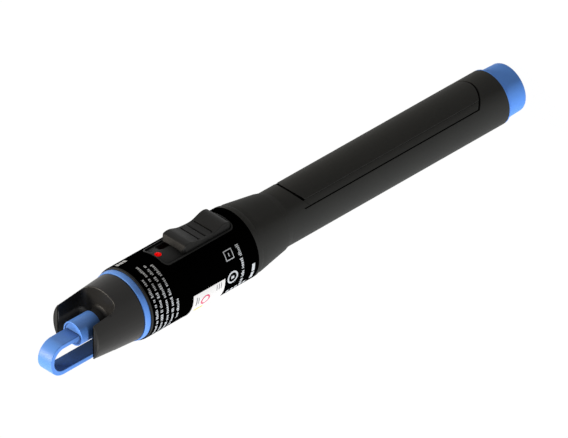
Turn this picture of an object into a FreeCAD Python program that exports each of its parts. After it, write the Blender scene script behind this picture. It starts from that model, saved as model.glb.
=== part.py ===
import FreeCAD, Part
import math
import os

# Pen-shaped visual fault locator, millimetres. It stands on its flat tail cap:
# origin at the middle of the cap's end face, +Z along the pen to the laser port,
# -Y to the side that carries the switch and the pocket clip.
# Angles round the pen count from -Y towards -X, in degrees.

# Two AA cells in line set the length and the bore of the grip.
CELL_D = 14.2
CELL_LEN = 50.5
CELL_COUNT = 2
NUB_D = 5.5
NUB_H = 1.3
CELL_PLAY = 0.35
CELL_CHAMFER = 0.4

# Tail cap: a cup with a threaded plug, a flange and a square-section seal.
CAP_LEN = 8.4
CAP_END_R = 8.15
CAP_NECK_R = 8.4
CAP_EDGE_R = 0.5
CAP_FLOOR = 2.2
CAP_CUP_R = 6.2
FLANGE_T = 0.6
FLANGE_SETBACK = 0.02
FLANGE_FILLET = 0.8
PLUG_LEN = 5.35
PLUG_PLAY = 0.1
PLUG_STEP = 0.45
PLUG_TO_CELL = 0.8
SEAL_T = 1.05
SEAL_L = 1.1
SEAL_SETBACK = 0.35
SEAL_PLAY = 0.05

# Battery spring and its seat in the tail cap.
SPRING_WIRE = 0.8
SPRING_R = 4.4
SPRING_TURNS = 4
SPRING_SIDES = 6
SEAT_T = 0.4
SEAT_R = 5.9

# Grip, step, cone, neck and flare of the moulded body.
GRIP_WALL = 1.8
CONE_BACKSET = 14.4
STEP_LEN = 2.2
STEP_RISE = 0.5
CONE_EDGE = 0.1
CONE_LEN = 11.2
NECK_STEP = 0.36
NECK_LEN = 1.5
FLARE_LEN = 1.6
FLARE_SAG = 0.29

# Head: label recess, front shoulder and the spigot that carries ring and bumper.
HEAD_R = 12.0
LABEL_T = 0.15
LABEL_LIP = 0.7
LABEL_LEN = 44.2
SHOULDER_LEN = 0.7
SHOULDER_STEP = 0.1
HEAD_WALL = 3.1
SPIGOT_WALL = 0.8
SPIGOT_PLAY = 0.05

# Soft blue moulding: collar ring, strap and dust cap.
RING_LEN = 2.1
RING_REAR_STEP = 0.5
RING_MID_STEP = 0.5
RING_FRONT_STEP = 0.7
STRAP_W = 5.8
STRAP_T = 1.6
STRAP_COVER = 1.1
STRAP_REACH = 6.4
STRAP_PLAY = 0.15
DUST_R = 4.0
DUST_LEN = 8.2
DUST_END = 1.1
DUST_DISH = 0.25
DUST_RIM = 0.35
DUST_RIM_W = 0.6
DUST_PLAY = 0.05
DUST_GAP = 0.1

# Front bumper: tapered, with a slot from top to bottom and a boss in its middle.
BUMPER_LEN = 18.4
BUMPER_REAR_STEP = 0.9
BUMPER_TAPER = 1.3
BUMPER_EDGE_R = 0.2
WEB_T = 3.8
SOCKET_DEPTH = 4.2
SLOT_HALF = 7.5
SLOT_CORNER_R = 2.5
BOSS_R = 3.7
BOSS_H = 3.2
BOSS_FILLET = 1.0
GASKET_T = 0.5

# Optical port: metal adapter with a ceramic split sleeve for 2.5 mm ferrules.
NOSE_R = 2.9
NOSE_LEN = 14.0
NOSE_CHAMFER = 0.3
PORT_FLANGE_R = 6.0
PORT_FLANGE_T = 2.0
PORT_TAIL_R = 3.2
PORT_TAIL_LEN = 5.0
PORT_LIP = 1.6
PORT_LIP_R = 1.45
PORT_LEAD_IN = 0.35
SLEEVE_IN_R = 1.26
SLEEVE_WALL = 0.34
SLEEVE_LEN = 11.4
SLEEVE_SLIT = 0.4
SLEEVE_PLAY = 0.02
SLEEVE_END_PLAY = 0.15
BEAM_R = 0.9

# Laser module behind the port.
MODULE_R = 5.0
MODULE_LEN = 14.0
CAN_FLANGE_R = 2.8
CAN_FLANGE_T = 1.2
CAN_CAP_R = 1.85
CAN_CAP_H = 2.4
CAN_INSET = 0.3
PIN_R = 0.225
PIN_LEN = 6.0
PIN_CIRCLE_R = 1.0
LENS_R = 2.2
LENS_EDGE_T = 1.2
LENS_BULGE_R = 3.2
LENS_SETBACK = 2.0
RETAINER_HOLE_R = 1.5
RETAINER_GRIP = 0.35

# Switch pocket, its bezel and the three-position slider.
POCKET_START = 3.8
POCKET_LEN = 29.1
POCKET_HALF = 5.6
POCKET_CORNER_R = 2.0
BEZEL_LIP_W = 0.5
BEZEL_PROUD = 0.1
BEZEL_DEPTH = 0.5
BEZEL_FLOOR_T = 0.55
BEZEL_PLAY = 0.05
LEDGE_W = 0.75
SLIDER_SETBACK = 0.8
SLIDER_LEN = 20.4
SLIDER_HALF = 4.95
SLIDER_TOP_HALF = 4.85
SLIDER_CORNER_R = 1.4
SLIDER_GAP = 0.15
SLIDER_TRAVEL = 4.4
# Crests and hollow of the slider above the head, and how far each lies from an end.
SLIDER_PEAK = 1.85
SLIDER_VALLEY = 0.3
NOSE_DROP = 0.35
NOSE_BACK = 0.85
CREST_BACK = 2.9
BROW_DROP = 1.1
BROW_BACK = 6.4
VALLEY_BACK = 9.2
SLOPE_RISE = 0.08
SLOPE_BACK = 13.2
HEEL_LOSS = 0.12
HEEL_CREST = 3.4
HEEL_DROP = 0.55
HEEL_EDGE = 0.9
RIB_BACKS = (7.4, 10.2, 13.1)
RIB_END_W = 0.95
RIB_W = 0.4
RIB_D = 0.35
LEVER_SETBACK = 5.6
LEVER_W = 1.8
LEVER_L = 3.0
LEVER_BASE = 1.5
LEVER_PLAY = 0.1
STEM_WALL = 0.45
SLOT_SIDE = 0.25
SLOT_FRONT = 5.2
LAMP_R = 1.1
LAMP_STEM_R = 0.9
LAMP_SETBACK = 2.0
LAMP_BALL_R = 2.6

# Circuit board and what stands on it.
BOARD_T = 1.6
BOARD_WALL_GAP = 1.15
BOARD_CORNER_R = 1.0
BOARD_PIN_GAP = 0.03
BOARD_LEN = 32.0
SWITCH_W = 5.6
SWITCH_H = 4.0
SWITCH_L = 14.0
SWITCH_WALL_GAP = 0.2
LED_SIZE = (2.0, 1.0, 1.6)
CHIP_SIZE = (5.0, 1.5, 6.2)
CHIP_SETBACK = 14.0
CHIP_OFFSET = 0.5
CAPACITOR_R = 2.5
CAPACITOR_L = 9.0
CAPACITOR_SETBACK = 12.0
TRIMMER_SIZE = (3.8, 2.2, 4.0)
TRIMMER_SETBACK = 24.0
EDGE_MARGIN = 1.0

# Contact bulkhead between the cells and the head.
BULKHEAD_PLUG = 3.0
BULKHEAD_FLANGE = 1.5
BULKHEAD_PLAY = 0.1
RAIL_L = 5.0
RAIL_W = 1.4
RAIL_T = 0.75
RIVET_HEAD_R = 3.0
RIVET_HEAD_T = 0.4
RIVET_R = 1.5
RIVET_TAIL_R = 1.1
RIVET_TAIL_L = 2.5
STRIP_W = 3.0
STRIP_T = 0.3
STRIP_PLAY = 0.1
STRIP_FOOT = 5.0

# Pocket clip: a long moulded blade let into the grip, free at its front end.
CLIP_HALF_ANGLE = 41.0
CLIP_T = 0.95
CLIP_PROUD = 0.05
CLIP_GAP = 0.2
CLIP_SIDE_PLAY = 0.1
CLIP_REAR = 7.25
CLIP_LEN = 79.7
CLIP_RAMP = 1.0
RECESS_FRONT_GAP = 0.7
RECESS_RAMP = 0.85
PANEL_HALF_ANGLE = 56.4
PANEL_DEPTH = 0.1
GROOVE_W = 0.4
GROOVE_D = 0.35
REAR_GROOVE_W = 0.8
SIDE_GROOVE_RUN = 2.2
STAKE_R = 0.6
STAKE_DEPTH = 0.5
STAKE_X = 3.0
STAKE_BACK = 4.0

# Blank paper sticker on the label.
STICKER_T = 0.1
STICKER_START = 14.4
STICKER_LEN = 13.2
STICKER_FROM = 88.0
STICKER_TO = 175.0

# Worked-out radii and stations along the pen.
bore_r = CELL_D / 2 + CELL_PLAY
grip_r = bore_r + GRIP_WALL
tail_bore_r = bore_r + PLUG_STEP
plug_r = tail_bore_r - PLUG_PLAY
cavity_r = HEAD_R - HEAD_WALL
spigot_r = cavity_r + SPIGOT_WALL
neck_r = HEAD_R - NECK_STEP
label_floor_r = HEAD_R - LABEL_T
bezel_floor_r = HEAD_R - BEZEL_DEPTH
ring_rear_r = HEAD_R - RING_REAR_STEP
ring_mid_r = HEAD_R - RING_MID_STEP
ring_front_r = HEAD_R - RING_FRONT_STEP
bumper_rear_r = HEAD_R - BUMPER_REAR_STEP
bumper_front_r = bumper_rear_r - BUMPER_TAPER
strap_bend_r = (ring_front_r - STRAP_COVER - STRAP_T / 2) / 2
clip_floor_r = grip_r + CLIP_PROUD - CLIP_T - CLIP_GAP
clip_out_r = grip_r + CLIP_PROUD

z_plug = CAP_LEN + PLUG_LEN
z_cell = z_plug + PLUG_TO_CELL
z_contact = z_cell + CELL_COUNT * CELL_LEN
z_step = z_contact - CONE_BACKSET
z_cone = z_step + STEP_LEN
z_neck = z_cone + CONE_LEN
z_flare = z_neck + NECK_LEN
z_lip = z_flare + FLARE_LEN
z_label = z_lip + LABEL_LIP
z_label_end = z_label + LABEL_LEN
z_ring = z_label_end + SHOULDER_LEN
z_bumper = z_ring + RING_LEN
z_web = z_bumper + SOCKET_DEPTH
z_slot = z_web + WEB_T
z_front = z_bumper + BUMPER_LEN
z_boss = z_slot + BOSS_H
z_dust = z_boss + DUST_GAP
z_dust_end = z_dust + DUST_LEN
z_seat = z_contact + BULKHEAD_PLUG
z_board = z_seat + BULKHEAD_FLANGE
z_port = z_web - PORT_FLANGE_T
z_module = z_port - MODULE_LEN
z_nose = z_web + NOSE_LEN
z_lens = z_port - PORT_TAIL_LEN - LENS_SETBACK - LENS_EDGE_T
z_pocket = z_label + POCKET_START
z_pocket_end = z_pocket + POCKET_LEN
z_slider = z_pocket + SLIDER_SETBACK
z_lamp = z_pocket_end - LAMP_SETBACK
z_lever = z_slider + LEVER_SETBACK
y_pins = -(PIN_CIRCLE_R + PIN_R)
y_board = y_pins - BOARD_PIN_GAP
y_board_top = y_board - BOARD_T
board_half = math.sqrt((cavity_r - BOARD_WALL_GAP) ** 2 - y_board_top**2)
y_switch = y_board_top - SWITCH_H
lever_x = math.sqrt((cavity_r - SWITCH_WALL_GAP) ** 2 - y_switch**2) - SWITCH_W / 2
slider_base_r = bezel_floor_r + SLIDER_GAP
z_clip = CAP_LEN + CLIP_REAR
FAR = 40.0
# Share of a quarter round's radius that its middle lies in from the square corner.
ROUND_SHARE = 1 - math.sqrt(0.5)


def turned(start, *steps):
    """Solid of revolution. Each step is a corner (radius, z) or an arc (middle, end)."""
    edges = []
    here = FreeCAD.Vector(start[0], 0, start[1])
    for step in steps + (start,):
        if isinstance(step[0], tuple):
            middle = FreeCAD.Vector(step[0][0], 0, step[0][1])
            there = FreeCAD.Vector(step[1][0], 0, step[1][1])
            edges.append(Part.Arc(here, middle, there).toShape())
        else:
            there = FreeCAD.Vector(step[0], 0, step[1])
            edges.append(Part.makeLine(here, there))
        here = there
    face = Part.Face(Part.Wire(edges))
    return face.revolve(FreeCAD.Vector(0, 0, 0), FreeCAD.Vector(0, 0, 1), 360)


def cap_height(radius, ball_r):
    """Height of a slice of a ball over a circle of this radius."""
    return ball_r - math.sqrt(ball_r**2 - radius**2)


def dome(radius, z, ball_r):
    """Step for turned(): the arc of a ball from a rim at (radius, z) up to the axis."""
    top = z + cap_height(radius, ball_r)
    half_angle = math.asin(radius / ball_r) / 2
    middle = (ball_r * math.sin(half_angle), top - ball_r * (1 - math.cos(half_angle)))
    return (middle, (0, top))


def rod(radius, z0, z1, x=0.0, y=0.0):
    """Round bar along the pen."""
    return Part.makeCylinder(radius, z1 - z0, FreeCAD.Vector(x, y, z0))


def tube(r_in, r_out, z0, z1):
    """Round tube about the pen's axis."""
    return rod(r_out, z0, z1).cut(rod(r_in, z0 - 1, z1 + 1))


def block(x0, x1, y0, y1, z0, z1):
    """Rectangular block between two corners."""
    return Part.makeBox(x1 - x0, y1 - y0, z1 - z0, FreeCAD.Vector(x0, y0, z0))


def sector(r_in, r_out, a0, a1, z0, z1):
    """Part of a tube between two angles round the pen."""
    wedge = Part.makeCylinder(
        r_out, z1 - z0, FreeCAD.Vector(0, 0, z0), FreeCAD.Vector(0, 0, 1), a1 - a0
    )
    wedge.rotate(FreeCAD.Vector(0, 0, 0), FreeCAD.Vector(0, 0, 1), -90 - a1)
    return wedge.cut(rod(r_in, z0 - 1, z1 + 1))


def slanted(z_rear, rear_slope, z_front, front_slope):
    """Wide prism on the switch side, whose two ends lean with the height above the axis."""
    corners = [
        FreeCAD.Vector(-FAR, 0, z_rear),
        FreeCAD.Vector(-FAR, -FAR, z_rear + rear_slope * FAR),
        FreeCAD.Vector(-FAR, -FAR, z_front + front_slope * FAR),
        FreeCAD.Vector(-FAR, 0, z_front),
    ]
    face = Part.Face(Part.makePolygon(corners + corners[:1]))
    return face.extrude(FreeCAD.Vector(2 * FAR, 0, 0))


def rounded_slab(half, z0, z1, corner, y0, y1):
    """Slab with four rounded corners, its thickness along Y."""
    slab = block(-half, half, y0, y1, z0, z1)
    corners = [e for e in slab.Edges if abs(e.Vertexes[0].Y - e.Vertexes[1].Y) > 1e-6]
    return slab.makeFillet(corner, corners)


def pocket_shape(offset):
    """Plan of the switch pocket, grown by an offset and cut well clear of the axis."""
    return rounded_slab(
        POCKET_HALF + offset,
        z_pocket - offset,
        z_pocket_end + offset,
        POCKET_CORNER_R + offset,
        -FAR,
        -cavity_r / 2,
    )


def strap_channel(play):
    """Room that the strap and the ring's key need on the side away from the switch."""
    half = STRAP_W / 2 + play
    y_low = 2 * strap_bend_r - STRAP_T / 2 - play
    return block(-half, half, y_low, FAR, z_ring, z_slot + 1)


def clip_ends(rear_play, front_play):
    """Slanted prism that trims the blade and its recess; both ends lean with the height."""
    z_rear = z_clip + grip_r + rear_play
    z_tip = z_clip + CLIP_LEN - grip_r * CLIP_RAMP + front_play
    return slanted(z_rear, -1.0, z_tip, CLIP_RAMP)


def stakes(radius, depth):
    """Two short stakes under the rear of the clip."""
    z = z_clip + STAKE_BACK
    pegs = [
        Part.makeCylinder(
            radius,
            FAR,
            FreeCAD.Vector(x, 0, z),
            FreeCAD.Vector(0, -1, 0),
        )
        for x in (-STAKE_X, STAKE_X)
    ]
    shell = tube(clip_floor_r - depth, clip_floor_r + CLIP_GAP + 0.3, z - 3, z + 3)
    return pegs[0].fuse(pegs[1]).common(shell)


def body_tube():
    """Grip, cone and head in one moulding."""
    cone_r = grip_r + STEP_RISE + CONE_EDGE
    shell = turned(
        (tail_bore_r, CAP_LEN),
        (grip_r, CAP_LEN),
        (grip_r, z_step),
        (cone_r - CONE_EDGE, z_cone - CONE_EDGE),
        (cone_r, z_cone),
        (neck_r, z_neck),
        (neck_r, z_flare),
        ((neck_r + FLARE_SAG, z_flare + FLARE_LEN / 2), (HEAD_R, z_lip)),
        (HEAD_R, z_label),
        (label_floor_r, z_label),
        (label_floor_r, z_label_end),
        (HEAD_R - SHOULDER_STEP, z_label_end),
        (HEAD_R - SHOULDER_STEP, z_ring),
        (spigot_r, z_ring),
        (spigot_r, z_web - GASKET_T),
        (cavity_r, z_web - GASKET_T),
        (cavity_r, z_seat),
        (bore_r, z_seat),
        (bore_r, z_plug + PLUG_STEP),
        (tail_bore_r, z_plug + PLUG_STEP),
    )
    ledge = rounded_slab(
        POCKET_HALF - LEDGE_W,
        z_pocket + LEDGE_W,
        z_pocket_end - LEDGE_W,
        POCKET_CORNER_R - LEDGE_W,
        -FAR,
        -cavity_r / 2,
    )
    window = pocket_shape(BEZEL_PLAY).cut(
        rod(bezel_floor_r - BEZEL_FLOOR_T - BEZEL_PLAY, z_pocket - 5, z_pocket_end + 5)
    )
    bed_angle = CLIP_HALF_ANGLE + math.degrees(CLIP_SIDE_PLAY / grip_r)
    groove_angle = math.degrees(GROOVE_W / 2 / grip_r)
    recess_tip = RECESS_FRONT_GAP + grip_r * (CLIP_RAMP - RECESS_RAMP)
    z_tip = z_clip + CLIP_LEN - grip_r * CLIP_RAMP + recess_tip
    z_rear = z_clip + grip_r
    z0, z1 = z_clip - 2, z_clip + CLIP_LEN + 4
    bay = slanted(z_rear, -1.0, z_tip, RECESS_RAMP)
    bed = sector(clip_floor_r, FAR, -bed_angle, bed_angle, z0, z1).common(bay)
    panel_r = grip_r - PANEL_DEPTH
    edge = PANEL_HALF_ANGLE + groove_angle
    panel = sector(panel_r, FAR, -edge, edge, z0, z1).common(bay)
    groove_r = grip_r - GROOVE_D
    inner = PANEL_HALF_ANGLE - groove_angle
    side_bay = slanted(z_rear, -1.0, z_tip + SIDE_GROOVE_RUN, RECESS_RAMP)
    left = sector(groove_r, FAR, -edge, -inner, z0, z1).common(side_bay)
    right = sector(groove_r, FAR, inner, edge, z0, z1).common(side_bay)
    rear_bay = slanted(z_rear, -1.0, z_rear + REAR_GROOVE_W, -1.0)
    rear = sector(groove_r, FAR, -edge, edge, z0, z1).common(rear_bay)
    y_strip = bore_r + STRIP_T + 2 * STRIP_PLAY
    half_strip = STRIP_W / 2 + STRIP_PLAY
    strip_groove = block(-half_strip, half_strip, 0, y_strip, z_plug, z_seat + 1).cut(
        rod(bore_r - 1, z_plug - 1, z_seat + 2)
    )
    cuts = [
        ledge,
        window,
        bed,
        panel,
        left,
        right,
        rear,
        strip_groove,
        strap_channel(STRAP_PLAY),
        stakes(STAKE_R + 0.15, STAKE_DEPTH + 0.1),
    ]
    return shell.cut(cuts)


def label_wrap():
    """Printed film round the head, open over the switch pocket."""
    film = tube(label_floor_r, HEAD_R, z_label, z_label_end)
    return film.cut(pocket_shape(BEZEL_PLAY))


def blank_sticker():
    """Small paper sticker low on the side of the head."""
    z0 = z_label + STICKER_START
    return sector(HEAD_R, HEAD_R + STICKER_T, STICKER_FROM, STICKER_TO, z0, z0 + STICKER_LEN)


def collar_ring():
    """Blue ring clamped between head and bumper, with a key that carries the strap."""
    z_mid = z_ring + RING_LEN * 0.5
    ring = turned(
        (spigot_r + SPIGOT_PLAY, z_ring),
        (ring_rear_r, z_ring),
        ((ring_mid_r, z_mid), (ring_front_r, z_bumper)),
        (spigot_r + SPIGOT_PLAY, z_bumper),
    )
    half = STRAP_W / 2
    y_low = 2 * strap_bend_r - STRAP_T / 2
    key = block(-half, half, y_low, spigot_r + 1, z_ring, z_bumper)
    return ring.fuse(key).removeSplitter()


def front_bumper():
    """Tapered guard with the slot, the web and the boss round the port."""
    taper = (bumper_rear_r - bumper_front_r) / BUMPER_LEN
    shell = turned(
        (0, z_web),
        (spigot_r + SPIGOT_PLAY, z_web),
        (spigot_r + SPIGOT_PLAY, z_bumper),
        (bumper_rear_r, z_bumper),
        (bumper_front_r + taper * BUMPER_EDGE_R, z_front - BUMPER_EDGE_R),
        (bumper_front_r - BUMPER_EDGE_R, z_front),
        (0, z_front),
    )
    slot = block(-SLOT_HALF, SLOT_HALF, -FAR, FAR, z_slot, z_front + SLOT_CORNER_R + 1)
    floor_edges = [
        e
        for e in slot.Edges
        if abs(e.Vertexes[0].Z - z_slot) < 1e-6
        and abs(e.Vertexes[1].Z - z_slot) < 1e-6
        and abs(e.Vertexes[0].Y - e.Vertexes[1].Y) > 1
    ]
    slot = slot.makeFillet(SLOT_CORNER_R, floor_edges)
    boss = turned(
        (0, z_slot - 0.5),
        (BOSS_R + BOSS_FILLET, z_slot - 0.5),
        (BOSS_R + BOSS_FILLET, z_slot),
        (
            (BOSS_R + ROUND_SHARE * BOSS_FILLET, z_slot + ROUND_SHARE * BOSS_FILLET),
            (BOSS_R, z_slot + BOSS_FILLET),
        ),
        (BOSS_R, z_boss),
        (0, z_boss),
    )
    bore = rod(NOSE_R + SPIGOT_PLAY, z_web - 1, z_boss + 1)
    solid = shell.cut(slot).fuse(boss).cut([bore, strap_channel(STRAP_PLAY)])
    return solid.removeSplitter()


def front_gasket():
    """Flat gasket between the spigot and the bumper's web."""
    ring = tube(cavity_r, spigot_r, z_web - GASKET_T, z_web)
    return ring.cut(strap_channel(STRAP_PLAY))


def dust_cap():
    """Blue plug cap that slides over the port's nose."""
    r_in = NOSE_R + DUST_PLAY
    z_floor = z_dust_end - DUST_END
    return turned(
        (r_in, z_dust),
        (DUST_R, z_dust),
        (DUST_R, z_dust_end - DUST_RIM),
        (DUST_R - DUST_RIM, z_dust_end),
        (DUST_R - DUST_RIM_W, z_dust_end),
        (DUST_R - DUST_RIM_W - 0.2, z_dust_end - DUST_DISH),
        (0, z_dust_end - DUST_DISH),
        (0, z_floor),
        (r_in, z_floor),
    )


def strap():
    """Band from the ring's key round to the front of the dust cap."""
    z_bend = z_dust_end + STRAP_REACH
    y_low = 2 * strap_bend_r
    half_t = STRAP_T / 2
    inner, outer = strap_bend_r - half_t, strap_bend_r + half_t

    def at(y, z):
        return FreeCAD.Vector(-STRAP_W / 2, y, z)

    def bend(radius, first, last):
        middle = at(strap_bend_r, z_bend + radius)
        return Part.Arc(first, middle, last).toShape()

    z_top = z_dust_end - DUST_DISH
    corners = [
        at(-half_t, z_top),
        at(-half_t, z_bend),
        at(y_low + half_t, z_bend),
        at(y_low + half_t, z_bumper),
        at(y_low - half_t, z_bumper),
        at(y_low - half_t, z_bend),
        at(half_t, z_bend),
        at(half_t, z_top),
    ]
    edges = [
        Part.makeLine(corners[0], corners[1]),
        bend(outer, corners[1], corners[2]),
        Part.makeLine(corners[2], corners[3]),
        Part.makeLine(corners[3], corners[4]),
        Part.makeLine(corners[4], corners[5]),
        bend(inner, corners[5], corners[6]),
        Part.makeLine(corners[6], corners[7]),
        Part.makeLine(corners[7], corners[0]),
    ]
    return Part.Face(Part.Wire(edges)).extrude(FreeCAD.Vector(STRAP_W, 0, 0))


def port_adapter():
    """Turned metal port: nose, flange behind the web and a tail that holds the module."""
    seat_r = SLEEVE_IN_R + SLEEVE_WALL + SLEEVE_PLAY
    z_lip_in = z_nose - PORT_LIP
    z_sleeve = z_lip_in - SLEEVE_LEN - 2 * SLEEVE_END_PLAY
    return turned(
        (BEAM_R, z_port - PORT_TAIL_LEN),
        (PORT_TAIL_R, z_port - PORT_TAIL_LEN),
        (PORT_TAIL_R, z_port),
        (PORT_FLANGE_R, z_port),
        (PORT_FLANGE_R, z_web),
        (NOSE_R, z_web),
        (NOSE_R, z_nose - NOSE_CHAMFER),
        (NOSE_R - NOSE_CHAMFER, z_nose),
        (PORT_LIP_R + PORT_LEAD_IN, z_nose),
        (PORT_LIP_R, z_lip_in),
        (seat_r, z_lip_in),
        (seat_r, z_sleeve),
        (BEAM_R, z_sleeve),
    )


def split_sleeve():
    """Ceramic sleeve, slit along its length, that grips the ferrule."""
    z1 = z_nose - PORT_LIP - SLEEVE_END_PLAY
    z0 = z1 - SLEEVE_LEN
    sleeve = tube(SLEEVE_IN_R, SLEEVE_IN_R + SLEEVE_WALL, z0, z1)
    half = SLEEVE_SLIT / 2
    return sleeve.cut(block(-half, half, 0, FAR, z0 - 1, z1 + 1))


def laser_module():
    """Brass barrel that holds lens and laser diode behind the port."""
    z_tail = z_port - PORT_TAIL_LEN
    z_can = z_module + CAN_INSET + CAN_FLANGE_T
    return turned(
        (CAN_FLANGE_R + 0.05, z_module),
        (MODULE_R, z_module),
        (MODULE_R, z_port),
        (PORT_TAIL_R + 0.05, z_port),
        (PORT_TAIL_R + 0.05, z_tail),
        (LENS_R + 0.05, z_tail),
        (LENS_R + 0.05, z_lens),
        (CAN_CAP_R + 0.1, z_lens),
        (CAN_CAP_R + 0.1, z_can),
        (CAN_FLANGE_R + 0.05, z_can),
    )


def laser_diode():
    """Three-pin can, pressed into the rear of the module."""
    z0 = z_module + CAN_INSET
    z1 = z0 + CAN_FLANGE_T
    can = turned(
        (0, z0),
        (CAN_FLANGE_R, z0),
        (CAN_FLANGE_R, z1),
        (CAN_CAP_R, z1),
        (CAN_CAP_R, z1 + CAN_CAP_H),
        (0, z1 + CAN_CAP_H),
    )
    for step in range(3):
        angle = math.radians(-90 + 120 * step)
        x, y = PIN_CIRCLE_R * math.cos(angle), PIN_CIRCLE_R * math.sin(angle)
        can = can.fuse(rod(PIN_R, z0 - PIN_LEN, z0 + 0.2, x, y))
    return can.removeSplitter()


def focusing_lens():
    """Glass lens, flat towards the diode and domed towards the port."""
    z0 = z_lens
    z1 = z0 + LENS_EDGE_T
    return turned((0, z0), (LENS_R, z0), (LENS_R, z1), dome(LENS_R, z1, LENS_BULGE_R))


def lens_retainer():
    """Ring that holds the lens from the port side, resting on the edge of its dome."""
    z_edge = z_lens + LENS_EDGE_T
    touch_r = LENS_R - RETAINER_GRIP
    z_touch = z_edge + cap_height(LENS_R, LENS_BULGE_R) - cap_height(touch_r, LENS_BULGE_R)
    z_clear = z_edge + cap_height(LENS_R, LENS_BULGE_R) + 0.1
    z1 = z_port - PORT_TAIL_LEN
    return turned(
        (touch_r, z_touch),
        (LENS_R, z_touch),
        (LENS_R, z1),
        (RETAINER_HOLE_R, z1),
        (RETAINER_HOLE_R, z_clear),
        (touch_r, z_clear),
    )


def switch_bezel():
    """Lighter tray in the pocket, with a raised lip and a slot for the slider's stem."""
    r_low = bezel_floor_r - BEZEL_FLOOR_T
    z0, z1 = z_pocket - 1, z_pocket_end + 1
    tray = pocket_shape(0).common(tube(r_low, HEAD_R + BEZEL_PROUD, z0, z1))
    hollow = rounded_slab(
        POCKET_HALF - BEZEL_LIP_W,
        z_pocket + BEZEL_LIP_W,
        z_pocket_end - BEZEL_LIP_W,
        POCKET_CORNER_R - BEZEL_LIP_W,
        -FAR,
        -cavity_r / 2,
    ).cut(rod(bezel_floor_r, z0, z1))
    half = LEVER_W / 2 + STEM_WALL + SLOT_SIDE
    z_open = z_lever - STEM_WALL - SLOT_SIDE
    z_close = z_pocket_end - SLOT_FRONT
    slot = block(lever_x - half, lever_x + half, -FAR, 0, z_open, z_close)
    lamp = Part.makeCylinder(
        LAMP_STEM_R + BEZEL_PLAY,
        FAR,
        FreeCAD.Vector(0, 0, z_lamp),
        FreeCAD.Vector(0, -1, 0),
    )
    return tray.cut([hollow, slot, lamp])


def slider_button():
    """Thumb slider: two humps, a ribbed hollow between them and a stem through the slot."""
    z1 = z_slider + SLIDER_LEN
    peak = HEAD_R + SLIDER_PEAK
    heel = peak - HEEL_LOSS
    valley = HEAD_R + SLIDER_VALLEY
    top = [
        (z1 - NOSE_BACK, peak - NOSE_DROP),
        (z1 - CREST_BACK, peak),
        (z1 - BROW_BACK, peak - BROW_DROP),
        (z1 - VALLEY_BACK, valley),
        (z1 - SLOPE_BACK, valley + SLOPE_RISE),
        (z_slider + HEEL_CREST, heel),
        (z_slider + HEEL_EDGE, heel - HEEL_DROP),
    ]
    curve = Part.BSplineCurve()
    curve.interpolate([FreeCAD.Vector(-FAR, -h, z) for z, h in top])
    low = slider_base_r - 2
    corners = [
        FreeCAD.Vector(-FAR, -(heel - HEEL_DROP), z_slider + HEEL_EDGE),
        FreeCAD.Vector(-FAR, -low, z_slider),
        FreeCAD.Vector(-FAR, -low, z1),
        FreeCAD.Vector(-FAR, -slider_base_r, z1),
        FreeCAD.Vector(-FAR, -(peak - NOSE_DROP), z1 - NOSE_BACK),
    ]
    lines = [Part.makeLine(a, b) for a, b in zip(corners, corners[1:])]
    side = Part.Face(Part.Wire([curve.toShape()] + lines))
    humps = side.extrude(FreeCAD.Vector(2 * FAR, 0, 0))
    groove_floor = humps.translated(FreeCAD.Vector(0, RIB_D, 0))
    plan = rounded_slab(SLIDER_HALF, z_slider, z1, SLIDER_CORNER_R, -FAR, 0)
    section = [
        FreeCAD.Vector(-SLIDER_HALF, 0, z_slider - 1),
        FreeCAD.Vector(-SLIDER_HALF, -slider_base_r, z_slider - 1),
        FreeCAD.Vector(-SLIDER_TOP_HALF, -peak, z_slider - 1),
        FreeCAD.Vector(SLIDER_TOP_HALF, -peak, z_slider - 1),
        FreeCAD.Vector(SLIDER_HALF, -slider_base_r, z_slider - 1),
        FreeCAD.Vector(SLIDER_HALF, 0, z_slider - 1),
    ]
    draft = Part.Face(Part.makePolygon(section + section[:1])).extrude(
        FreeCAD.Vector(0, 0, SLIDER_LEN + 2)
    )
    button = humps.common(plan).common(draft)
    button = button.cut(rod(slider_base_r, z_slider - 1, z1 + 1))
    reach = SLIDER_TOP_HALF - RIB_END_W
    for back in RIB_BACKS:
        z = z1 - back
        groove = block(-reach, reach, -FAR, -slider_base_r, z - RIB_W / 2, z + RIB_W / 2)
        button = button.cut(groove.cut(groove_floor))
    half = LEVER_W / 2
    wall = STEM_WALL
    y_stem = -(bezel_floor_r - BEZEL_FLOOR_T - 1.5)
    stem = block(
        lever_x - half - wall,
        lever_x + half + wall,
        -(slider_base_r + 0.2),
        y_stem,
        z_lever - wall,
        z_lever + LEVER_L + wall,
    )
    socket = block(
        lever_x - half - 0.02,
        lever_x + half + 0.02,
        -(slider_base_r - 0.3),
        y_stem + 1,
        z_lever - 0.02,
        z_lever + LEVER_L + 0.02,
    )
    return button.fuse(stem).cut(socket).removeSplitter()


def switch_lever():
    """Lever of the slide switch, caught in the slider's stem."""
    half = LEVER_W / 2
    top = -(slider_base_r - 0.4)
    bottom = y_switch + LEVER_BASE
    return block(lever_x - half, lever_x + half, top, bottom, z_lever, z_lever + LEVER_L)


def slide_switch():
    """Switch body soldered to the board, with the slot its lever runs in."""
    z0 = z_lever - 1.5
    half = SWITCH_W / 2
    case = block(lever_x - half, lever_x + half, y_switch, y_board_top, z0, z0 + SWITCH_L)
    slot_half = LEVER_W / 2 + LEVER_PLAY
    slot = block(
        lever_x - slot_half,
        lever_x + slot_half,
        y_switch - 1,
        y_switch + LEVER_BASE + LEVER_PLAY,
        z_lever - 0.3,
        z_lever + LEVER_L + SLIDER_TRAVEL + 0.3,
    )
    return case.cut(slot)


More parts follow.
